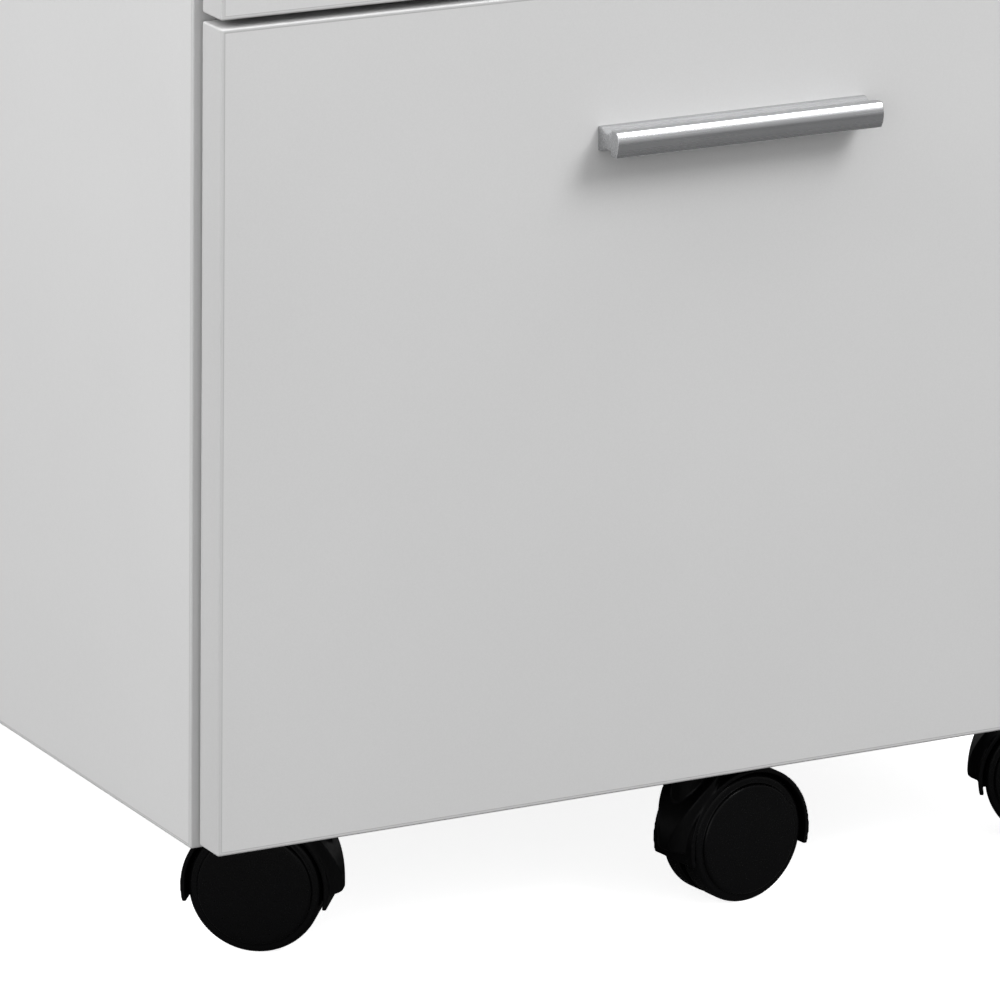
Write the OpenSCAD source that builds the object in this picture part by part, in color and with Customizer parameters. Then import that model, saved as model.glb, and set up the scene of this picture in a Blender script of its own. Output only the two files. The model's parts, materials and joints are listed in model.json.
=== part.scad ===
// Rolling pedestal cabinet: a laminate carcass with two box drawers over a file drawer, on
// four corner casters, with a fifth anti-tip caster that travels with the file drawer.
// Origin: on the floor, below the middle of the whole cabinet. +X right, +Y back, +Z up.

/* [Cabinet] */
// Outside width
body_w = 420; // [380:5:460]
// Depth from the drawer fronts' faces to the rear edges
body_d = 450; // [430:5:520]
// Thickness of the carcass boards and drawer fronts
board_t = 15; // [15:1:18]
// Height of the file drawer's front
file_front_h = 305; // [290:5:330]
// Height of each box drawer's front
small_front_h = 120; // [110:5:150]
// Gap between neighbouring fronts
front_gap = 3; // [2:0.5:5]
// How far each side panel shows beside the fronts
side_reveal = 3; // [1:0.5:4]

/* [Drawers] */
// Length of the drawer sides and of the slides
slide_l = 400; // [380:10:400]
// Height of the file drawer's sides
file_box_h = 240; // [220:5:250]
// Height of the box drawers' sides
small_box_h = 90; // [70:5:95]

/* [Handles] */
// Length of the bar handle
handle_l = 111; // [108:1:200]
// Distance between the handle's screws
handle_pitch = 96; // [64:32:96]
// Distance from a front's top edge down to its handle
handle_drop = 55; // [45:1:70]

/* [Casters] */
// Wheel diameter
wheel_d = 50; // [50:1:50]
// Distance from the swivel axis to the axle
trail = 20; // [19.5:0.5:20.5]
// Direction in which the front left caster trails, in degrees from +X
front_left_angle = 142; // [0:1:359]
// Direction in which the front right caster trails
front_right_angle = 330; // [0:1:359]
// Direction in which the rear left caster trails
rear_left_angle = 205; // [0:1:359]
// Direction in which the rear right caster trails
rear_right_angle = 340; // [0:1:359]
// Direction in which the anti-tip caster trails
anti_tip_angle = 7; // [0:1:359]

/* [Hidden] */
$fn = 64;

// Handle section, measured out from the front's face and up and down from its middle
handle_d = 15;
flange_t = 2;
flange_half = 4.5;
flare_d = 5.5;
waist_half = 2.8;
bar_back_d = 9.5;
bar_half = 4.8;
bar_r = 8;
nose_angle = asin(bar_half / bar_r);
nose_steps = 12;
handle_screw_r = 1.9;
handle_screw_depth = 7;
screw_hole_r = 2.2;
screw_head_r = 3.8;
screw_head_h = 2.4;

// Depth positions
total_d = body_d + handle_d;
front_y = handle_d - total_d / 2;
front_back_y = front_y + board_t;
carcass_y = front_back_y + 1;
back_y = total_d / 2;

// Width positions
half_w = body_w / 2;
inner_half = half_w - board_t;
front_w = body_w - 2 * side_reveal;
slide_space = 13;
box_half = inner_half - slide_space;
box_t = 12;
box_inner_half = box_half - box_t;

// Height positions
wheel_r = wheel_d / 2;
foot_z = 52.3;
plate_t = 2.3;
under_z = foot_z + plate_t;
front_lift = 1.4;
top_gap = 3;
file_box_lift = 24;
small_box_lift = 14;
file_slide_lift = 70;
small_slide_lift = 45;

// Drawers are numbered from the bottom: 0 file, 1 middle, 2 top
FILE = 0;
MIDDLE = 1;
TOP = 2;
DRAWERS = ["file", "middle", "top"];
function front_h(i) = i == FILE ? file_front_h : small_front_h;
function front_z(i) =
  under_z + front_lift + (i == FILE ? 0 : file_front_h + front_gap + (i - 1) * (small_front_h + front_gap));
function box_h(i) = i == FILE ? file_box_h : small_box_h;
function box_z(i) = front_z(i) + (i == FILE ? file_box_lift : small_box_lift);
function handle_z(i) = front_z(i) + front_h(i) - handle_drop;
function slide_z(i) = box_z(i) + (i == FILE ? file_slide_lift : small_slide_lift);
top_z = front_z(TOP) + small_front_h + top_gap;

// Grooves for the back panel and the drawer bottoms
groove = 5;
back_t = 3;
back_inset = 10;
bottom_t = 4;
bottom_lift = 10;
box_y = front_back_y;
box_back_y = box_y + slide_l - box_t;

// Slide rails: u runs from the carcass side's inner face to the drawer side
rail_t = 1.2;
rail_y = carcass_y + 2;
ball_r = 1.6;
small_outer_half = 17.5;
small_inner_half = 13;
file_outer_half = 22.5;
file_middle_half = 18;
file_inner_half = 13.5;
outer_tip = 9.5;
small_inner_tip = 4;
file_middle_web = 2.6;
file_middle_tip = 10.6;
file_inner_tip = 5.4;
// Ball retainers: web, flange tips and ball middles, as depths u
SMALL_CAGE = [1.8, 8.8, 6.7];
FILE_OUTER_CAGE = [1.55, 8.2, 6];
FILE_INNER_CAGE = [4.25, 9.8, 7.8];
cage_t = 0.7;
cage_l = 100;
cage_y = rail_y + (slide_l - cage_l) / 2;
ball_pitch = 20;

// Carcass fittings
cam_r = 7.5;
cam_h = 12.5;
cam_gap = 0.3;
cam_inset = 34;
bolt_r = 3.5;
bolt_deep = 11;
fitting_front_in = 50;
fitting_rear_in = 60;
fitting_rows = [carcass_y + fitting_front_in, back_y - fitting_rear_in];

// Casters
plate_w = 40;
plate_corner_r = 4;
plate_hole_in = 4.5;
stem_r = 4;
stem_fit = 0.06;
stem_bottom_z = 46;
stem_side_in = 62;
stem_front_in = 23;
stem_rear_in = 33;
anti_tip_in = 19.6;
caster_screw_r = 1.9;
caster_screw_head_r = 3.7;
caster_screw_head_h = 2;
caster_screw_l = 13;
hood_r = 27.7;
hood_inner_r = 26;
hood_half = 12;
hood_top_z = 52;
hood_bottom_z = wheel_r - 6.5;
web_half = 1.6;
web_drop = 4;
boss_r = 11.7;
boss_reach = 31.5;
boss_bottom_z = 23.5;
collar_r = 7;
collar_z = 40;
axle_r = 3;
axle_half = 10.8;
axle_fit = 0.06;
wheel_in = 2.1;
wheel_out = 10.6;
wheel_face = 12.6;
wheel_round = 2;
face_step = 1.5;
hub_r = 6;
wheel_web_t = 2.5;
wheel_rim_t = 5;

// Anti-tip bracket
bracket_t = 2;
bracket_half = 25;
bracket_d = 46;
tongue_half = 12;
tongue_d = 4.5;
ear_h = 27;
notch_half = 28;
notch_d = 16;

front_stem_y = carcass_y + stem_front_in;
rear_stem_y = back_y - stem_rear_in;
stem_x = half_w - stem_side_in;
anti_tip_y = front_y + anti_tip_in;
// Each caster: name, swivel axis X and Y, trailing direction
CASTERS = [
  ["front_left", -stem_x, front_stem_y, front_left_angle],
  ["front_right", stem_x, front_stem_y, front_right_angle],
  ["rear_left", -stem_x, rear_stem_y, rear_left_angle],
  ["rear_right", stem_x, rear_stem_y, rear_right_angle],
  ["anti_tip", 0, anti_tip_y, anti_tip_angle]
];
CORNERS = [for (i = [0:3]) CASTERS[i]];

BOX_PARTS = ["front", "side_left", "side_right", "back", "bottom", "handle", "handle_screws"];

LAMINATE = "gainsboro";
ZINC = "silver";
BLACK = [0.09, 0.09, 0.1];

// A box given by its lowest and highest corners
module block(low, high) {
  translate(low) cube(high - low);
}

// Children on the left (-X) and mirrored on the right
module both_sides() {
  children();
  mirror([1, 0, 0]) children();
}

// ---- Carcass ----

// The side panel on the left
module side_panel() {
  color(LAMINATE) difference() {
    block([-half_w, carcass_y, under_z], [-inner_half, back_y, top_z]);
    block([-inner_half - groove, back_y - back_inset - back_t, under_z - 1],
          [-inner_half + 1, back_y - back_inset, top_z + 1]);
    carcass_bores();
  }
}

module top_panel() {
  color(LAMINATE) difference() {
    block([-half_w, front_y, top_z], [half_w, back_y, top_z + board_t]);
    block([-inner_half - groove, back_y - back_inset - back_t, top_z - 1],
          [inner_half + groove, back_y - back_inset, top_z + groove]);
    carcass_bores();
  }
}

// Notched at the front for the anti-tip bracket, and bored for the caster screws
module bottom_panel() {
  color(LAMINATE) difference() {
    block([-inner_half, carcass_y, under_z], [inner_half, back_y, under_z + board_t]);
    block([-inner_half - 1, back_y - back_inset - back_t, under_z + board_t - groove],
          [inner_half + 1, back_y - back_inset, under_z + board_t + 1]);
    block([-notch_half, carcass_y - 1, under_z - 1], [notch_half, carcass_y + notch_d, under_z + board_t + 1]);
    carcass_bores();
    caster_screw_set();
  }
}

module back_panel() {
  color(LAMINATE)
    block([-inner_half - groove, back_y - back_inset - back_t, under_z + board_t - groove],
          [inner_half + groove, back_y - back_inset, top_z + groove]);
}

// A round cam housing sunk into a board's inner face, at the origin and facing +X
module cam() {
  rotate([0, -90, 0]) cylinder(r = cam_r, h = cam_h);
}

// A bolt along +Z, from a distance out from the cam's middle, across the joint and into the other board
module cam_bolt(start) {
  translate([0, 0, start]) cylinder(r = bolt_r, h = cam_inset + bolt_deep - start);
}

// The cams sit in the side panels for the top joint and in the bottom panel for the lower joint
module carcass_joints(bolt_start) {
  both_sides() for (y = fitting_rows) {
    translate([-inner_half, y, top_z - cam_inset]) {
      cam();
      translate([-board_t / 2, 0, 0]) cam_bolt(bolt_start);
    }
    translate([-inner_half + cam_inset, y, under_z + board_t]) {
      rotate([0, -90, 0]) cam();
      translate([0, 0, -board_t / 2]) rotate([0, -90, 0]) cam_bolt(bolt_start);
    }
  }
}

// The bores for the fittings run into each other
module carcass_bores() {
  carcass_joints(0);
}

module carcass_fittings() {
  color(ZINC) carcass_joints(cam_r + cam_gap);
}

// ---- Slides ----

// A channel along Y with its web at depth u_web and its flange tips at u_tip, around height z
module channel(u_web, u_tip, half_h, z, y, length, t) {
  dir = u_tip > u_web ? 1 : -1;
  x_web = -inner_half + u_web;
  x_tip = -inner_half + u_tip;
  x_low = min(x_web, x_tip);
  x_high = max(x_web, x_tip);
  difference() {
    block([x_low, y, z - half_h], [x_high, y + length, z + half_h]);
    block([x_low + (dir > 0 ? t : -1), y - 1, z - half_h + t],
          [x_high + (dir > 0 ? 1 : -t), y + length + 1, z + half_h - t]);
  }
}

module rail(u_web, u_tip, half_h, z) {
  both_sides() channel(u_web, u_tip, half_h, z, rail_y, slide_l, rail_t);
}

// A ball retainer with its two rows of balls
module ball_cage(cage, half_ball, z) {
  both_sides() {
    channel(cage[0], cage[1], half_ball + cage_t / 2, z, cage_y, cage_l, cage_t);
    for (row = [-1, 1], y = [cage_y + ball_pitch / 2:ball_pitch:cage_y + cage_l])
      translate([-inner_half + cage[2], y, z + row * half_ball]) sphere(r = ball_r);
  }
}

module cabinet_rails() {
  color(ZINC) {
    rail(0, outer_tip, file_outer_half, slide_z(FILE));
    for (i = [MIDDLE, TOP]) rail(0, outer_tip, small_outer_half, slide_z(i));
  }
}

module small_drawer_rails(i) {
  color(ZINC) rail(slide_space, small_inner_tip, small_inner_half, slide_z(i));
}

module file_middle_rails() {
  color(ZINC) rail(file_middle_web, file_middle_tip, file_middle_half, slide_z(FILE));
}

module file_drawer_rails() {
  color(ZINC) rail(slide_space, file_inner_tip, file_inner_half, slide_z(FILE));
}

module small_ball_cages(i) {
  color(ZINC)
    ball_cage(SMALL_CAGE, (small_outer_half - rail_t + small_inner_half) / 2, slide_z(i));
}

module file_outer_cages() {
  color(ZINC)
    ball_cage(FILE_OUTER_CAGE, (file_outer_half - rail_t + file_middle_half) / 2, slide_z(FILE));
}

module file_inner_cages() {
  color(ZINC)
    ball_cage(FILE_INNER_CAGE, (file_middle_half - rail_t + file_inner_half) / 2, slide_z(FILE));
}

// ---- Drawers ----

// The space that a drawer's bottom fills, let into the grooves around it
module bottom_blank(i) {
  z = box_z(i) + bottom_lift;
  block([-box_inner_half - groove, front_back_y - groove, z],
        [box_inner_half + groove, box_back_y + groove, z + bottom_t]);
}

// Both screws of a drawer's handle, with shanks of radius r
module handle_screw_pair(i, r) {
  for (x = [-handle_pitch / 2, handle_pitch / 2])
    translate([x, front_back_y, handle_z(i)]) rotate([90, 0, 0])
      cylinder(r = r, h = board_t + handle_screw_depth);
}

module drawer_front(i) {
  color(LAMINATE) difference() {
    block([-front_w / 2, front_y, front_z(i)], [front_w / 2, front_back_y, front_z(i) + front_h(i)]);
    bottom_blank(i);
    handle_screw_pair(i, screw_hole_r);
  }
}

// The left drawer side
module drawer_side(i) {
  color(LAMINATE) difference() {
    block([-box_half, box_y, box_z(i)], [-box_inner_half, box_y + slide_l, box_z(i) + box_h(i)]);
    bottom_blank(i);
  }
}

module drawer_back(i) {
  color(LAMINATE) difference() {
    block([-box_inner_half, box_back_y, box_z(i)], [box_inner_half, box_y + slide_l, box_z(i) + box_h(i)]);
    bottom_blank(i);
  }
}

module drawer_bottom(i) {
  color(LAMINATE) bottom_blank(i);
}

// One half of the handle's outline, from the front's face out to the middle of its rounded nose
function handle_half(side) = [
  [0, side * flange_half],
  [flange_t, side * flange_half],
  [flare_d, side * waist_half],
  [bar_back_d, side * waist_half],
  [bar_back_d, side * bar_half],
  for (k = [0:nose_steps]) let (a = nose_angle * (1 - k / nose_steps))
    [handle_d - bar_r + bar_r * cos(a), side * bar_r * sin(a)]
];

// The handle's section: x out from the front, y up
module handle_section() {
  upper = handle_half(1);
  lower = handle_half(-1);
  polygon(concat(upper, [for (k = [len(lower) - 2:-1:0]) lower[k]]));
}

module drawer_handle(i) {
  color(ZINC) difference() {
    translate([-handle_l / 2, front_y, handle_z(i)]) rotate([90, 0, 90])
      mirror([1, 0, 0]) linear_extrude(height = handle_l) handle_section();
    handle_screw_pair(i, handle_screw_r);
  }
}

// Pan heads bear on the front's inner face
module handle_screws(i) {
  color(ZINC) {
    handle_screw_pair(i, handle_screw_r);
    for (x = [-handle_pitch / 2, handle_pitch / 2])
      translate([x, front_back_y, handle_z(i)]) rotate([-90, 0, 0])
        cylinder(r = screw_head_r, h = screw_head_h);
  }
}

// Caps over the file drawer's sides, with a lip that hanging folders hook over
module file_hanging_rails() {
  cap_t = 1.2;
  cap_h = 12;
  lip_t = 2;
  lip_h = 6;
  top = box_z(FILE) + box_h(FILE);
  low_y = box_y + 1;
  high_y = box_back_y - 1;
  color(ZINC) both_sides() {
    difference() {
      block([-box_half - cap_t, low_y, top - cap_h], [-box_inner_half + cap_t, high_y, top + cap_t]);
      block([-box_half, low_y - 1, top - cap_h - 1], [-box_inner_half, high_y + 1, top]);
    }
    block([-box_inner_half + cap_t - lip_t, low_y, top + cap_t], [-box_inner_half + cap_t, high_y, top + cap_t + lip_h]);
  }
}

// ---- Casters ----

// Children placed on a caster's swivel axis, with +X towards its axle
module at_caster(c) {
  translate([c[1], c[2], 0]) rotate([0, 0, c[3]]) children();
}

// Children placed on a caster's axle, with +Z along the axle
module on_axle() {
  translate([trail, 0, wheel_r]) rotate([-90, 0, 0]) children();
}

// The pin that a caster turns on, riveted through its plate or bracket
module stem() {
  translate([0, 0, stem_bottom_z]) cylinder(r = stem_r, h = foot_z + plate_t - stem_bottom_z);
}

// The hole for the pin in a plate or bracket
module stem_hole() {
  translate([0, 0, foot_z - 1]) cylinder(r = stem_r + stem_fit, h = plate_t + 2);
}

// The four holes' places in one mounting plate
module at_plate_holes() {
  d = plate_w / 2 - plate_hole_in;
  for (x = [-d, d], y = [-d, d]) translate([x, y, foot_z]) children();
}

// A wood screw, its flat head flush with the plate's lower face
module caster_screw() {
  cylinder(r1 = caster_screw_head_r, r2 = caster_screw_r, h = caster_screw_head_h);
  cylinder(r = caster_screw_r, h = caster_screw_l);
}

module caster_screw_set() {
  for (c = CORNERS) translate([c[1], c[2], 0]) at_plate_holes() caster_screw();
}

module caster_screws() {
  color(ZINC) caster_screw_set();
}

module plate_outline() {
  d = plate_w / 2;
  square([plate_w, plate_w - 2 * plate_corner_r], center = true);
  square([plate_w - 2 * plate_corner_r, plate_w], center = true);
  for (x = [-1, 1], y = [-1, 1])
    translate([x * (d - plate_corner_r), y * (d - plate_corner_r)]) circle(r = plate_corner_r);
}

module caster_plates() {
  color(BLACK) {
    difference() {
      for (c = CORNERS) translate([c[1], c[2], foot_z]) linear_extrude(height = plate_t) plate_outline();
      for (c = CORNERS) translate([c[1], c[2], 0]) stem_hole();
      caster_screw_set();
    }
    for (c = CORNERS) translate([c[1], c[2], 0]) stem();
  }
}

// A stamped steel bracket: its foot runs back under the carcass and its ears screw to the file front
module anti_tip_bracket() {
  top = foot_z + bracket_t;
  color(BLACK) {
    translate([0, anti_tip_y, 0]) stem();
    difference() {
      union() {
        block([-bracket_half, front_back_y, foot_z], [bracket_half, front_back_y + bracket_d, top]);
        block([-tongue_half, front_back_y - tongue_d, foot_z], [tongue_half, front_back_y + 1, top]);
      }
      translate([0, anti_tip_y, 0]) stem_hole();
    }
    both_sides() {
      block([-bracket_half, front_back_y, foot_z], [-tongue_half, front_back_y + bracket_t, top + ear_h]);
      block([-bracket_half, front_back_y, foot_z], [bracket_t - bracket_half, front_back_y + notch_d - 2, top + ear_h / 2]);
    }
  }
}

// The cover over both wheels, cut level below the axle
module hood_shell() {
  difference() {
    on_axle() cylinder(r = hood_r, h = 2 * hood_half, center = true);
    for (s = [-1, 1]) on_axle() translate([0, 0, s * (web_half + hood_half)])
      cylinder(r = hood_inner_r, h = 2 * hood_half, center = true);
    translate([-hood_r, -hood_r, hood_bottom_z - 2 * hood_r]) cube([4 * hood_r, 2 * hood_r, 2 * hood_r]);
    translate([-hood_r, -hood_r, hood_top_z]) cube([4 * hood_r, 2 * hood_r, hood_r]);
  }
}

// The web between the wheels, and the round boss with the collar that turns on the stem
module hood_body() {
  on_axle() cylinder(r = hub_r, h = 2 * web_half, center = true);
  translate([0, -web_half, hood_bottom_z])
    cube([trail, 2 * web_half, hood_top_z - hood_bottom_z - web_drop]);
  difference() {
    union() {
      intersection() {
        translate([0, 0, boss_bottom_z]) cylinder(r = boss_r, h = hood_top_z - boss_bottom_z);
        on_axle() cylinder(r = boss_reach, h = 4 * boss_r, center = true);
      }
      translate([0, 0, collar_z]) cylinder(r = collar_r, h = hood_top_z - collar_z);
    }
    on_axle() cylinder(r = hood_inner_r, h = 4 * hood_half, center = true);
  }
}

module caster_hood(c) {
  color(BLACK) at_caster(c) difference() {
    union() {
      hood_shell();
      hood_body();
    }
    on_axle() cylinder(r = axle_r, h = 4 * web_half, center = true);
    translate([0, 0, stem_bottom_z - 0.2]) cylinder(r = stem_r + stem_fit, h = hood_top_z);
  }
}

module caster_axle(c) {
  color(ZINC) at_caster(c) on_axle() cylinder(r = axle_r, h = 2 * axle_half, center = true);
}

// A wheel on the positive side of the axle: radius against distance out from the middle
module wheel_half_section() {
  difference() {
    union() {
      square([wheel_r, wheel_out - wheel_round]);
      square([wheel_r - wheel_round, wheel_out]);
      translate([wheel_r - wheel_round, wheel_out - wheel_round]) circle(r = wheel_round);
      square([wheel_r - wheel_round - face_step, wheel_face]);
    }
    translate([-1, -1]) square([wheel_r + 2, wheel_in + 1]);
    translate([-1, -1]) square([1, wheel_face + 2]);
    translate([hub_r, wheel_in - 1]) square([wheel_r - wheel_rim_t - hub_r, wheel_face - wheel_web_t - wheel_in + 1]);
    translate([-1, -1]) square([axle_r + axle_fit + 1, axle_half + 0.3 + 1]);
  }
}

module caster_wheel(c, side) {
  color(BLACK) at_caster(c) on_axle() mirror([0, 0, side]) rotate_extrude() wheel_half_section();
}

// ---- Assembly ----

side_panel();  // side_panel_left
mirror([1, 0, 0]) side_panel();  // side_panel_right
top_panel();
bottom_panel();
back_panel();
carcass_fittings();
cabinet_rails();
file_middle_rails();
file_drawer_rails();
small_drawer_rails(MIDDLE);  // middle_drawer_rails
small_drawer_rails(TOP);  // top_drawer_rails
file_outer_cages();
file_inner_cages();
small_ball_cages(MIDDLE);  // middle_ball_cages
small_ball_cages(TOP);  // top_ball_cages
for (i = [FILE, MIDDLE, TOP]) {
  drawer_front(i);
  drawer_side(i);
  mirror([1, 0, 0]) drawer_side(i);
  drawer_back(i);
  drawer_bottom(i);
  drawer_handle(i);
  handle_screws(i);
}
file_hanging_rails();
anti_tip_bracket();
caster_plates();
caster_screws();
for (c = CASTERS) {
  caster_hood(c);
  caster_axle(c);
  caster_wheel(c, 0);
  caster_wheel(c, 1);
}
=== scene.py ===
"""Looks of the rolling pedestal cabinet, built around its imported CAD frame."""

import json
import math

import bmesh
import bpy
from mathutils import Matrix, Vector

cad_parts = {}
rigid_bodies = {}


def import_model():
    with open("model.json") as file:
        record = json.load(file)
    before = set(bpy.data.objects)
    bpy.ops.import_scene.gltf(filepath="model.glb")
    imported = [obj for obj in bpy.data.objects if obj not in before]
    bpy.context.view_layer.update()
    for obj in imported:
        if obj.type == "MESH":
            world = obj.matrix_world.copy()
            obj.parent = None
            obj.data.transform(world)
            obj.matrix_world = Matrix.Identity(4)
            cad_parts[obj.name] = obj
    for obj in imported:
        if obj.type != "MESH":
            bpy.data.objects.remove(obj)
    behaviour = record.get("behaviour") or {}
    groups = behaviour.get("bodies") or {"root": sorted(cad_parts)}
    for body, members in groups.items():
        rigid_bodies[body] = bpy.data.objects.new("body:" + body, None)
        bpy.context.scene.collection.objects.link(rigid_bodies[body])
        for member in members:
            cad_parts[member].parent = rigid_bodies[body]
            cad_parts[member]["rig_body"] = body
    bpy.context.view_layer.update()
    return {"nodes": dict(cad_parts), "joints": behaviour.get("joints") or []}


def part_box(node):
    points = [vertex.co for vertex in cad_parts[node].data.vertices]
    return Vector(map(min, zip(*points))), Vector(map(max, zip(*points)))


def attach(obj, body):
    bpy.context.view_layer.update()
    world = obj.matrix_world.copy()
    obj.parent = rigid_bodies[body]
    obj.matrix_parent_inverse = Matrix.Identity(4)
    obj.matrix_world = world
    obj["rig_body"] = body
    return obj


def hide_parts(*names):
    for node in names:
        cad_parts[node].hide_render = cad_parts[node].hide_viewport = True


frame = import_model()

MM = 0.001
NODES = frame["nodes"]
JOINTS = {joint["name"]: joint for joint in frame["joints"]}
DRAWERS = ("file", "middle", "top")
CASTERS = ("front_left", "front_right", "rear_left", "rear_right", "anti_tip")
UP = Vector((0, 0, 1))

# Laminate boards: how round their arrises are, and the glue line of the edge band beside them
ARRIS = 0.8 * MM
SEAM_IN = 0.5 * MM
SEAM_WIDTH = 0.3 * MM
SEAM_DEPTH = 0.15 * MM

# Material slots of a banded board
BOARD_FACE, BAND_FACE, GLUE_FACE = range(3)

# The hood's skin: its grid, and how often it is smoothed
HOOD_VOXEL = 0.4 * MM
HOOD_SMOOTHING = 5

# How round the edges of the inner boards, thin boards, bare steel and coated parts are
BOARD_EDGE = 0.6 * MM
THIN_EDGE = 0.3 * MM
FOLD_EDGE = 0.35 * MM
COATED_EDGE = 0.4 * MM

# Merging distance for the CAD meshes' doubled corners
WELD_DISTANCE = 0.005 * MM

# Half width of a cross recess's arms against its half length
RECESS_ARM = 0.28

# The floor's glow towards the camera, and how dark it is for every other ray
FLOOR_GLOW = 0.85
FLOOR_UNSEEN = (0.12, 0.12, 0.12, 1)

# Camera: its angles in degrees, its lens, and its place from the file drawer's lower left corner
CAMERA_AZIMUTH = -28.79
CAMERA_ELEVATION = 16.546
CAMERA_ROLL = 0.832
CAMERA_LENS = 289.7
CAMERA_SENSOR = 36
CAMERA_OFFSET = Vector((-1.22974, -2.44442, 0.94791))


# ---- Materials ----


def add(tree, kind, inputs=None, **settings):
    """A shader node whose inputs are set to values or linked from other nodes' outputs."""
    node = tree.nodes.new(kind)
    for key, value in settings.items():
        setattr(node, key, value)
    for key, value in (inputs or {}).items():
        if isinstance(value, bpy.types.NodeSocket):
            tree.links.new(value, node.inputs[key])
        else:
            node.inputs[key].default_value = value
    return node


def new_material(name, **sockets):
    """A material, its node tree and its shader with the given sockets set."""
    material = bpy.data.materials.new(name)
    material.use_nodes = True
    tree = material.node_tree
    shader = tree.nodes["Principled BSDF"]
    for key, value in sockets.items():
        shader.inputs[key.replace("_", " ")].default_value = value
    return material, tree, shader


def grain(tree, scale, detail=2.0, stretch=(1, 1, 1), roughness=0.5):
    """Noise in the piece's own coordinates: scale is in features per metre."""
    place = add(tree, "ShaderNodeTexCoord").outputs["Object"]
    mapped = add(tree, "ShaderNodeMapping", {"Vector": place, "Scale": stretch}).outputs["Vector"]
    values = {"Vector": mapped, "Scale": scale, "Detail": detail, "Roughness": roughness}
    return add(tree, "ShaderNodeTexNoise", values).outputs["Fac"]


def spread(tree, value, low, high, start=0.0, end=1.0):
    """The value between start and end spread over low to high."""
    values = {"Value": value, "From Min": start, "From Max": end, "To Min": low, "To Max": high}
    return add(tree, "ShaderNodeMapRange", values).outputs["Result"]


def shade(tree, color, factor):
    """The colour multiplied by a varying factor."""
    scaled = add(tree, "ShaderNodeVectorMath", {0: color[:3], "Scale": factor}, operation="SCALE")
    return scaled.outputs["Vector"]


def bumped(tree, shader, layers):
    """Bump from (height, strength, distance) layers."""
    normal = None
    for height, strength, distance in layers:
        values = {"Height": height, "Strength": strength, "Distance": distance}
        if normal:
            values["Normal"] = normal
        normal = add(tree, "ShaderNodeBump", values).outputs["Normal"]
    tree.links.new(normal, shader.inputs["Normal"])


def multiply(tree, first, second):
    """The product of two values."""
    values = {0: first, 1: second}
    return add(tree, "ShaderNodeMath", values, operation="MULTIPLY").outputs["Value"]


def laminate_material(name, color, roughness, cloud=0.012):
    """Melamine-faced board: a faintly clouded print under a fine pearl texture."""
    material, tree, shader = new_material(name, IOR=1.5)
    clouds = spread(tree, grain(tree, 9, 4), 1 - cloud, 1 + cloud, 0.3, 0.7)
    specks = spread(tree, grain(tree, 1500, 3), 0.985, 1.015, 0.3, 0.7)
    tone = shade(tree, color, multiply(tree, clouds, specks))
    tree.links.new(tone, shader.inputs["Base Color"])
    satin = spread(tree, grain(tree, 420, 3), roughness - 0.05, roughness + 0.05, 0.3, 0.7)
    tree.links.new(satin, shader.inputs["Roughness"])
    bumped(tree, shader, [(grain(tree, 1100, 2), 0.25, 0.04 * MM), (grain(tree, 160, 2), 0.10, 0.05 * MM)])
    return material


def fibreboard_material():
    """Thin backing board: short pressed fibres under a light grey lacquer."""
    material, tree, shader = new_material("fibreboard", IOR=1.47)
    fibres = grain(tree, 260, 6, (1, 3, 0.6), 0.65)
    tone = shade(tree, (0.55, 0.548, 0.54), spread(tree, fibres, 0.95, 1.05, 0.3, 0.7))
    tree.links.new(tone, shader.inputs["Base Color"])
    tree.links.new(spread(tree, fibres, 0.45, 0.62, 0.3, 0.7), shader.inputs["Roughness"])
    bumped(tree, shader, [(fibres, 0.3, 0.06 * MM)])
    return material


def anodised_material():
    """Satin anodised aluminium with the fine lines of its extrusion along X."""
    material, tree, shader = new_material("anodised_aluminium", Metallic=1.0)
    lines = grain(tree, 900, 2, (0.012, 1, 1))
    cloud = grain(tree, 60, 3)
    tone = shade(tree, (0.50, 0.505, 0.515), spread(tree, multiply(tree, lines, cloud), 0.96, 1.03, 0.1, 0.4))
    tree.links.new(tone, shader.inputs["Base Color"])
    tree.links.new(spread(tree, lines, 0.22, 0.31, 0.3, 0.7), shader.inputs["Roughness"])
    bumped(tree, shader, [(lines, 0.2, 0.02 * MM), (grain(tree, 4000, 1), 0.1, 0.01 * MM)])
    return material


def metal_material(name, color, roughness, cells, stretch=(1, 1, 1)):
    """Plated sheet steel: crystals of slightly different brightness and drawing lines."""
    material, tree, shader = new_material(name, Metallic=1.0)
    place = add(tree, "ShaderNodeTexCoord").outputs["Object"]
    crystals = add(tree, "ShaderNodeTexVoronoi", {"Vector": place, "Scale": cells}).outputs["Distance"]
    smear = grain(tree, 500, 3, stretch)
    tone = shade(tree, color, spread(tree, multiply(tree, crystals, smear), 0.9, 1.06, 0.0, 0.4))
    tree.links.new(tone, shader.inputs["Base Color"])
    gloss = spread(tree, smear, roughness - 0.07, roughness + 0.09, 0.3, 0.7)
    tree.links.new(gloss, shader.inputs["Roughness"])
    bumped(tree, shader, [(smear, 0.15, 0.03 * MM)])
    return material


def coated_material(name, color, roughness, peel, specular=0.5):
    """Powder coat or moulded plastic: a fine even texture with a little unevenness in its gloss."""
    material, tree, shader = new_material(name, IOR=1.5, Specular_IOR_Level=specular)
    tone = shade(tree, color, spread(tree, grain(tree, 130, 4), 0.9, 1.1, 0.3, 0.7))
    tree.links.new(tone, shader.inputs["Base Color"])
    gloss = spread(tree, grain(tree, 700, 3), roughness - 0.03, roughness + 0.04, 0.3, 0.7)
    tree.links.new(gloss, shader.inputs["Roughness"])
    bumped(tree, shader, [(grain(tree, peel, 2), 0.35, 0.03 * MM)])
    return material


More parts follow.
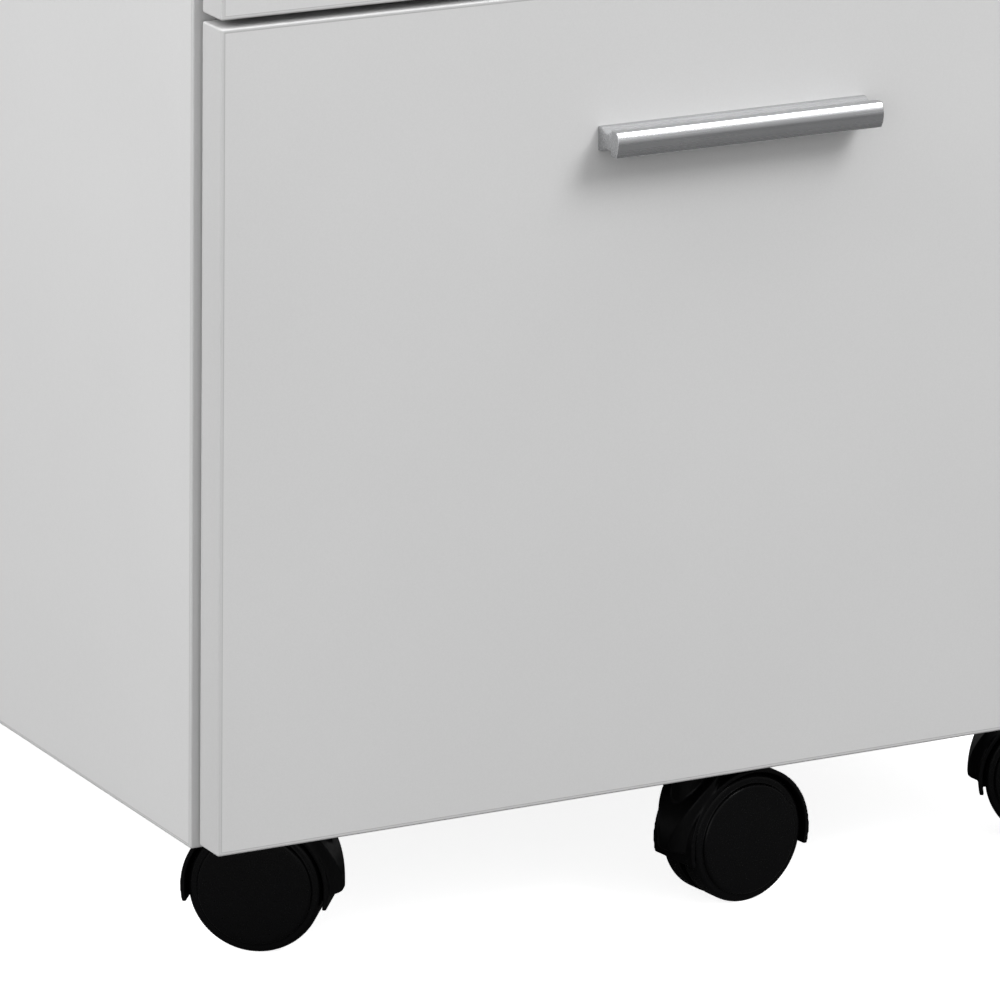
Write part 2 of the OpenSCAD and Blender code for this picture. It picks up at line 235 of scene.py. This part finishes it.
LAMINATE = laminate_material("grey_laminate", (0.60, 0.60, 0.60), 0.42)
EDGE_BAND = laminate_material("edge_band", (0.53, 0.53, 0.53), 0.36)
GLUE_LINE = laminate_material("glue_line", (0.44, 0.44, 0.44), 0.55)
DRAWER_BOARD = laminate_material("drawer_laminate", (0.585, 0.585, 0.582), 0.46)
FIBREBOARD = fibreboard_material()
ANODISED = anodised_material()
ZINC = metal_material("bright_zinc", (0.66, 0.68, 0.70), 0.30, 900, (0.05, 0.05, 1))
RETAINER = metal_material("retainer_steel", (0.60, 0.56, 0.46), 0.28, 1500)
RAIL_COAT = coated_material("grey_powder_coat", (0.42, 0.42, 0.42), 0.45, 1800)
BLACK_COAT = coated_material("black_powder_coat", (0.02, 0.02, 0.021), 0.45, 1800)
HOOD_NYLON = coated_material("hood_nylon", (0.0014, 0.0014, 0.0016), 0.34, 2600, 0.09)
WHEEL_NYLON = coated_material("wheel_nylon", (0.0016, 0.0016, 0.0018), 0.28, 2200, 0.11)


# ---- Meshes ----


def piece(name, mesh, body, slot, material, *stands_for):
    """A smooth-shaded piece that rides on a body and stands for CAD nodes."""
    obj = bpy.data.objects.new(name, mesh)
    bpy.context.scene.collection.objects.link(obj)
    mesh.materials.clear()
    mesh.materials.append(material)
    mesh.shade_smooth()
    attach(obj, body)
    if stands_for:
        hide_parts(*stands_for)
    return obj


def even_normals(obj):
    """Keeps large flat faces flat in their shading."""
    obj.modifiers.new("even_normals", "WEIGHTED_NORMAL").weight = 100


def mesh_of(name, shape):
    """A mesh from a bmesh, with its normals turned outwards."""
    bmesh.ops.recalc_face_normals(shape, faces=shape.faces)
    mesh = bpy.data.meshes.new(name)
    shape.to_mesh(mesh)
    shape.free()
    return mesh


def lathe(profile, steps):
    """A bmesh of (radius, height) points turned about Z. Points with no radius close the ends."""
    shape = bmesh.new()
    rings = []
    for radius, height in profile:
        if radius == 0:
            rings.append([shape.verts.new((0, 0, height))])
            continue
        angles = [2 * math.pi * step / steps for step in range(steps)]
        rings.append([shape.verts.new((radius * math.cos(a), radius * math.sin(a), height)) for a in angles])
    for ring, following in zip(rings, rings[1:]):
        for step in range(steps):
            after = (step + 1) % steps
            corners = [ring[step % len(ring)], ring[after % len(ring)]]
            corners += [following[after % len(following)], following[step % len(following)]]
            shape.faces.new(list(dict.fromkeys(corners)))
    return shape


def arc(center, radius, start, end, steps):
    """(radius, height) points of an arc between two angles in degrees."""
    points = []
    for step in range(steps + 1):
        angle = math.radians(start + (end - start) * step / steps)
        points.append((center[0] + radius * math.cos(angle), center[1] + radius * math.sin(angle)))
    return points


def prism(outline, low, high):
    """A bmesh of an outline in XY raised from low to high."""
    shape = bmesh.new()
    ring = [shape.verts.new((x, y, low)) for x, y in outline]
    face = shape.faces.new(ring)
    raised = bmesh.ops.extrude_face_region(shape, geom=[face])["geom"]
    moved = [item for item in raised if isinstance(item, bmesh.types.BMVert)]
    bmesh.ops.translate(shape, verts=moved, vec=(0, 0, high - low))
    return shape


def evaluated(obj, name):
    """A mesh of the object with its modifiers applied. The object is then removed."""
    bpy.context.view_layer.update()
    graph = bpy.context.evaluated_depsgraph_get()
    mesh = bpy.data.meshes.new_from_object(obj.evaluated_get(graph))
    mesh.name = name
    bpy.data.objects.remove(obj)
    return mesh


def linked(name, mesh):
    """An object of the mesh or other data, linked to the scene."""
    obj = bpy.data.objects.new(name, mesh)
    bpy.context.scene.collection.objects.link(obj)
    return obj


def carved(name, mesh, tool):
    """The mesh with the tool mesh cut out of it."""
    cutter = linked(name + "_cutter", tool)
    obj = linked(name + "_carved", mesh)
    cut = obj.modifiers.new("cut", "BOOLEAN")
    cut.object = cutter
    cut.solver = "EXACT"
    result = evaluated(obj, name)
    bpy.data.objects.remove(cutter)
    return result


def repeated(name, mesh, places):
    """One mesh with a copy of the mesh at each place."""
    shape = bmesh.new()
    for place in places:
        part = mesh.copy()
        part.transform(place)
        shape.from_mesh(part)
        bpy.data.meshes.remove(part)
    return mesh_of(name, shape)


# ---- Boards and carried-over CAD nodes ----


def board_mesh(name, low, high):
    """A board with rounded arrises, edge bands, and their fine glue line around both faces."""
    size = high - low
    shape = bmesh.new()
    placed = Matrix.Translation((low + high) / 2) @ Matrix.Diagonal((*size, 1))
    bmesh.ops.create_cube(shape, size=1, matrix=placed)
    bmesh.ops.bevel(shape, geom=shape.edges[:], offset=ARRIS, segments=3, profile=0.5, affect="EDGES")
    thin = min(range(3), key=lambda axis: size[axis])
    shape.normal_update()
    faces = [face for face in shape.faces if abs(face.normal[thin]) > 0.999]
    for face in shape.faces:
        face.material_index = BOARD_FACE if face in faces else BAND_FACE
    half_seam = SEAM_WIDTH / 2
    rings = ((SEAM_IN, 0, BAND_FACE), (half_seam, -SEAM_DEPTH, GLUE_FACE), (half_seam, SEAM_DEPTH, GLUE_FACE))
    for face in faces:
        for inset, depth, index in rings:
            values = {"faces": [face], "thickness": inset, "depth": depth, "use_even_offset": True}
            ring = bmesh.ops.inset_region(shape, **values)
            for side in ring["faces"]:
                side.material_index = index
    return mesh_of(name, shape)


def replace_board(node, slot, material):
    """Replaces a CAD board by its banded copy."""
    name = node + "_banded"
    mesh = board_mesh(name, *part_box(node))
    indices = [polygon.material_index for polygon in mesh.polygons]
    obj = piece(name, mesh, NODES[node]["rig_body"], slot, material, node)
    mesh.materials.append(EDGE_BAND)
    mesh.materials.append(GLUE_LINE)
    mesh.polygons.foreach_set("material_index", indices)
    even_normals(obj)


def dress(node, material, arris=0.0, segments=2, limit=30):
    """Gives a CAD node its material and rounds its sharp edges."""
    obj = NODES[node]
    obj.data.materials.clear()
    obj.data.materials.append(material)
    if not arris:
        return
    obj.modifiers.new("weld", "WELD").merge_threshold = WELD_DISTANCE
    flat = obj.modifiers.new("flat", "DECIMATE")
    flat.decimate_type = "DISSOLVE"
    flat.angle_limit = math.radians(0.3)
    rounding = obj.modifiers.new("rounding", "BEVEL")
    rounding.width = arris
    rounding.segments = segments
    rounding.limit_method = "ANGLE"
    rounding.angle_limit = math.radians(limit)
    rounding.use_clamp_overlap = False
    even_normals(obj)


def dress_boards():
    """The outer boards get edge bands. The inner ones keep their CAD shapes."""
    for node in ("side_panel_left", "side_panel_right", "top_panel"):
        replace_board(node, "laminate", LAMINATE)
    for drawer in DRAWERS:
        replace_board(drawer + "_front", "laminate", LAMINATE)
        for part in ("side_left", "side_right", "back"):
            dress(f"{drawer}_{part}", DRAWER_BOARD, BOARD_EDGE)
        dress(drawer + "_bottom", FIBREBOARD, THIN_EDGE)
    dress("bottom_panel", LAMINATE, BOARD_EDGE)
    dress("back_panel", FIBREBOARD, THIN_EDGE)


def dress_metal():
    """Slides, handles, brackets and axles keep their CAD shapes."""
    dress("cabinet_rails", ZINC, FOLD_EDGE)
    dress("file_middle_rails", ZINC, FOLD_EDGE)
    for drawer in DRAWERS:
        dress(drawer + "_drawer_rails", ZINC, FOLD_EDGE)
        dress(drawer + "_handle", ANODISED, FOLD_EDGE, 3, 24)
    for node in ("file_outer_cages", "file_inner_cages", "middle_ball_cages", "top_ball_cages"):
        dress(node, RETAINER)
    dress("file_hanging_rails", RAIL_COAT, COATED_EDGE)
    dress("anti_tip_bracket", BLACK_COAT, 0.5 * MM, 3)
    dress("caster_plates", BLACK_COAT, COATED_EDGE)
    for caster in CASTERS:
        dress("axle_" + caster, ZINC, COATED_EDGE)


# ---- Fasteners ----


def cross(half_length, half_width):
    """The outline of a cross recess."""
    long, short = half_length, half_width
    corner = [(long, -short), (long, short), (short, short)]
    return [(x * c - y * s, x * s + y * c) for c, s in ((1, 0), (0, 1), (-1, 0), (0, -1)) for x, y in corner]


def screw_head(name, profile, recess_half, recess_from):
    """A screw with a cross recess in its top: its profile is turned about Z."""
    tool = mesh_of(name + "_tool", prism(cross(recess_half, RECESS_ARM * recess_half), recess_from, 1))
    return carved(name, mesh_of(name, lathe(profile, 32)), tool)


def pan_head(name, head_r, head_h, shank_r, shank_l):
    """A pan-head screw: its head rises from z = 0 and its shank goes down."""
    edge = 0.35 * head_h
    profile = [(0, -shank_l), (shank_r, -shank_l), (shank_r, 0), (head_r - edge, 0)]
    profile += arc((head_r - edge, edge), edge, -90, 0, 4)[1:]
    profile += [(head_r * math.cos(math.radians(a)), edge + (head_h - edge) * math.sin(math.radians(a)))
                for a in (20, 40, 60, 75)]
    profile += [(0, head_h)]
    return screw_head(name, profile, 0.55 * head_r, 0.35 * head_h)


def place_along(origin, direction):
    """A placement whose Z runs along a direction."""
    return Matrix.Translation(origin) @ UP.rotation_difference(direction).to_matrix().to_4x4()


def handle_screws():
    """Two pan-head screws through each drawer front, their heads on its inner face."""
    for drawer in DRAWERS:
        node = drawer + "_handle_screws"
        low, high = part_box(node)
        front_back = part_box(drawer + "_front")[1].y
        head_r = (high.z - low.z) / 2
        screw = pan_head(node + "_shape", head_r, high.y - front_back, head_r / 2, front_back - low.y)
        places = []
        for x in (low.x + head_r, high.x - head_r):
            places.append(place_along(Vector((x, front_back, low.z + head_r)), Vector((0, 1, 0))))
        obj = piece(node + "_cross", repeated(node, screw, places), drawer + "_drawer", "zinc", ZINC, node)
        even_normals(obj)


def cam_fittings():
    """Cam locks in the side panels and the bottom panel, each with a cross recess and a raised rim."""
    low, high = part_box("carcass_fittings")
    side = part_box("side_panel_left")[1].x
    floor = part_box("bottom_panel")[1].z
    radius = 7.5 * MM
    depth = 12.5 * MM
    proud = 0.15 * MM
    sunk = 0.5 * MM
    recess_half = 3.4 * MM
    recess_depth = 3 * MM
    inset = 34 * MM
    profile = [(0, -depth), (radius, -depth), (radius, 0)]
    profile += [(radius - 0.4 * MM, proud), (radius - 1.2 * MM, proud)]
    profile += [(radius - 1.5 * MM, -sunk), (0, -sunk)]
    cam = screw_head("cam_shape", profile, recess_half, -recess_depth)
    places = []
    for y in (low.y + radius, high.y - radius):
        for sign in (-1, 1):
            wall = Vector((sign * abs(side), y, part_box("side_panel_left")[1].z - inset))
            places.append(place_along(wall, Vector((-sign, 0, 0))))
            places.append(Matrix.Translation((sign * (abs(side) - inset), y, floor)))
    obj = piece("cam_locks", repeated("cam_locks", cam, places), "cabinet", "zinc", ZINC, "carcass_fittings")
    even_normals(obj)


def caster_screws():
    """Four countersunk screws in each corner caster's plate."""
    plates = [JOINTS[caster + "_swivel"]["pos_m"] for caster in CASTERS[:4]]
    low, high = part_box("caster_screws")
    cad_radius = 3.7 * MM
    radius = 3.6 * MM
    shank = 1.9 * MM
    head = 2 * MM
    edge = 0.15 * MM
    recess_depth = 1.1 * MM
    length = high.z - low.z
    hole = plates[0][0] - (low.x + cad_radius)
    profile = [(0, -length), (shank, -length), (shank, -head), (radius, -edge), (radius, 0), (0, 0)]
    screw = screw_head("caster_screw_shape", profile, head, -recess_depth)
    places = []
    for x, y, _ in plates:
        for dx in (-hole, hole):
            for dy in (-hole, hole):
                places.append(place_along(Vector((x + dx, y + dy, low.z)), Vector((0, 0, -1))))
    mesh = repeated("caster_screws_cross", screw, places)
    obj = piece("caster_screws_cross", mesh, "cabinet", "zinc", ZINC, "caster_screws")
    even_normals(obj)


# ---- Casters ----


def caster_place(caster):
    """The caster's own frame: origin on the floor below its stem, +X towards the axle, +Y along it."""
    stem = Vector(JOINTS[caster + "_swivel"]["pos_m"])
    along = Vector(JOINTS[caster + "_wheel_a_spin"]["axis"]).normalized()
    forward = along.cross(UP)
    turn = Matrix((forward, along, UP)).transposed().to_4x4()
    return Matrix.Translation((stem.x, stem.y, 0)) @ turn


def moulded_hood():
    """The hood as one moulded skin with small fillets, in the caster's own frame."""
    mesh = NODES["hood_front_left"].data.copy()
    mesh.transform(caster_place("front_left").inverted())
    obj = linked("hood_skin", mesh)
    obj.modifiers.new("weld", "WELD").merge_threshold = WELD_DISTANCE
    skin = obj.modifiers.new("skin", "REMESH")
    skin.mode = "VOXEL"
    skin.voxel_size = HOOD_VOXEL
    fillet = obj.modifiers.new("fillet", "SMOOTH")
    fillet.factor = 0.5
    fillet.iterations = HOOD_SMOOTHING
    return evaluated(obj, "hood_moulded")


def wheel_mesh(outer_r):
    """A twin-wheel caster's wheel along +Z: rounded tread, raised domed face and a hollow inside."""
    inner = 2.1 * MM
    shoulder = 10.6 * MM
    face = 12.6 * MM
    tread_round = 2 * MM
    inner_round = 0.8 * MM
    face_r = outer_r - 3.5 * MM
    face_round = 1.1 * MM
    dome = 0.55 * MM
    step_round = 0.5 * MM
    bore_r = 3.06 * MM
    bore_end = 11.1 * MM
    hub_r = 6 * MM
    hollow_end = 10.1 * MM
    hollow_r = outer_r - 5 * MM
    profile = [(0, bore_end), (bore_r, bore_end), (bore_r, inner), (hub_r, inner)]
    profile += [(hub_r, hollow_end), (hollow_r, hollow_end), (hollow_r, inner)]
    profile += arc((outer_r - inner_round, inner + inner_round), inner_round, -90, 0, 5)
    profile += arc((outer_r - tread_round, shoulder - tread_round), tread_round, 0, 90, 10)
    profile += arc((face_r + step_round, shoulder + step_round), step_round, 270, 180, 4)
    rim = face - dome
    profile += arc((face_r - face_round, rim - face_round), face_round, 0, 86, 7)[1:]
    dome_r = face_r - face_round
    dome_steps = 12
    for step in range(1, dome_steps):
        radius = dome_r * (1 - step / dome_steps)
        profile.append((radius, face - dome * (radius / dome_r) ** 2))
    profile.append((0, face))
    return mesh_of("wheel_shape", lathe(profile, 96))


def casters():
    """Every caster's hood and its two wheels, from one hood mesh and one wheel mesh."""
    hood = moulded_hood()
    wheel_r = JOINTS["front_left_wheel_a_spin"]["pos_m"][2]
    wheel = wheel_mesh(wheel_r)
    for caster in CASTERS:
        place = caster_place(caster)
        body = "caster_" + caster
        node = "hood_" + caster
        shell = piece(node + "_moulded", hood, body, "hood", HOOD_NYLON, node)
        shell.matrix_world = place
        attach(shell, body)
        for side, turn in (("a", -90), ("b", 90)):
            node = f"wheel_{caster}_{side}"
            joint = JOINTS[f"{caster}_wheel_{side}_spin"]
            centre = place.inverted() @ Vector(joint["pos_m"])
            obj = piece(node + "_turned", wheel, node, "wheel", WHEEL_NYLON, node)
            outward = Matrix.Rotation(math.radians(turn), 4, "X")
            obj.matrix_world = place @ Matrix.Translation(centre) @ outward
            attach(obj, node)


# ---- Stage ----


def camera():
    """The camera, placed from the file drawer's lower left corner."""
    azimuth, elevation, roll = (math.radians(a) for a in (CAMERA_AZIMUTH, CAMERA_ELEVATION, CAMERA_ROLL))
    level = math.cos(elevation)
    forward = Vector((-math.sin(azimuth) * level, math.cos(azimuth) * level, -math.sin(elevation)))
    right = forward.cross(UP).normalized()
    above = right.cross(forward)
    across = math.cos(roll) * right + math.sin(roll) * above
    along = math.cos(roll) * above - math.sin(roll) * right
    data = bpy.data.cameras.new("camera")
    data.lens = CAMERA_LENS
    data.sensor_width = CAMERA_SENSOR
    data.clip_start = 0.05
    obj = linked("camera", data)
    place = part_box("file_front")[0] + CAMERA_OFFSET
    obj.matrix_world = Matrix.Translation(place) @ Matrix((across, along, -forward)).transposed().to_4x4()
    bpy.context.scene.camera = obj


def soft_light(name, place, target, size, power):
    """A square area light at a place, turned to its target."""
    data = bpy.data.lights.new(name, "AREA")
    data.shape = "RECTANGLE"
    data.size = data.size_y = size
    data.energy = power
    obj = linked(name, data)
    turn = (Vector(place) - Vector(target)).to_track_quat("Z", "Y")
    obj.matrix_world = Matrix.Translation(place) @ turn.to_matrix().to_4x4()


def floor():
    """A plain pale floor with hardly a shadow. Other than from the camera it looks darker, so that
    polished parts keep their contrast and little light comes back up from it."""
    material, tree, shader = new_material("pale_floor", Roughness=0.7)
    tone = shade(tree, (0.93, 0.93, 0.93), spread(tree, grain(tree, 3, 2), 0.99, 1.01))
    seen = add(tree, "ShaderNodeLightPath").outputs["Is Camera Ray"]
    values = {0: seen, 6: FLOOR_UNSEEN, 7: tone}
    mixed = add(tree, "ShaderNodeMix", values, data_type="RGBA").outputs[2]
    tree.links.new(mixed, shader.inputs["Base Color"])
    shader.inputs["Emission Color"].default_value = (1, 1, 1, 1)
    tree.links.new(multiply(tree, seen, FLOOR_GLOW), shader.inputs["Emission Strength"])
    shape = bmesh.new()
    bmesh.ops.create_grid(shape, x_segments=1, y_segments=1, size=6)
    mesh = mesh_of("floor", shape)
    mesh.materials.append(material)
    linked("floor", mesh)


def world():
    """Even studio light, a little brighter from above."""
    sky = bpy.data.worlds.new("studio")
    sky.use_nodes = True
    tree = sky.node_tree
    direction = add(tree, "ShaderNodeTexCoord").outputs["Generated"]
    height = add(tree, "ShaderNodeSeparateXYZ", {0: direction}).outputs["Z"]
    strength = spread(tree, height, 0.42, 0.92, -0.1, 0.8)
    tree.nodes["Background"].inputs["Color"].default_value = (1, 1, 1, 1)
    tree.links.new(strength, tree.nodes["Background"].inputs["Strength"])
    bpy.context.scene.world = sky


def stage():
    """Camera, floor, sky and four soft lights around the file drawer."""
    camera()
    floor()
    world()
    bpy.context.scene.view_settings.view_transform = "Standard"
    middle = (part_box("file_front")[0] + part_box("file_front")[1]) / 2
    soft_light("key", middle + Vector((0.8, -1.2, 1.5)), middle, 0.9, 28)
    soft_light("side", middle + Vector((-1.6, 0.2, 1.3)), middle, 1.4, 29)
    soft_light("fill", middle + Vector((-1.5, -1.6, 0.4)), middle, 1.2, 7)
    soft_light("top", middle + Vector((0, 0.3, 2.2)), middle, 2.0, 20)


dress_boards()
dress_metal()
handle_screws()
cam_fittings()
caster_screws()
casters()
stage()
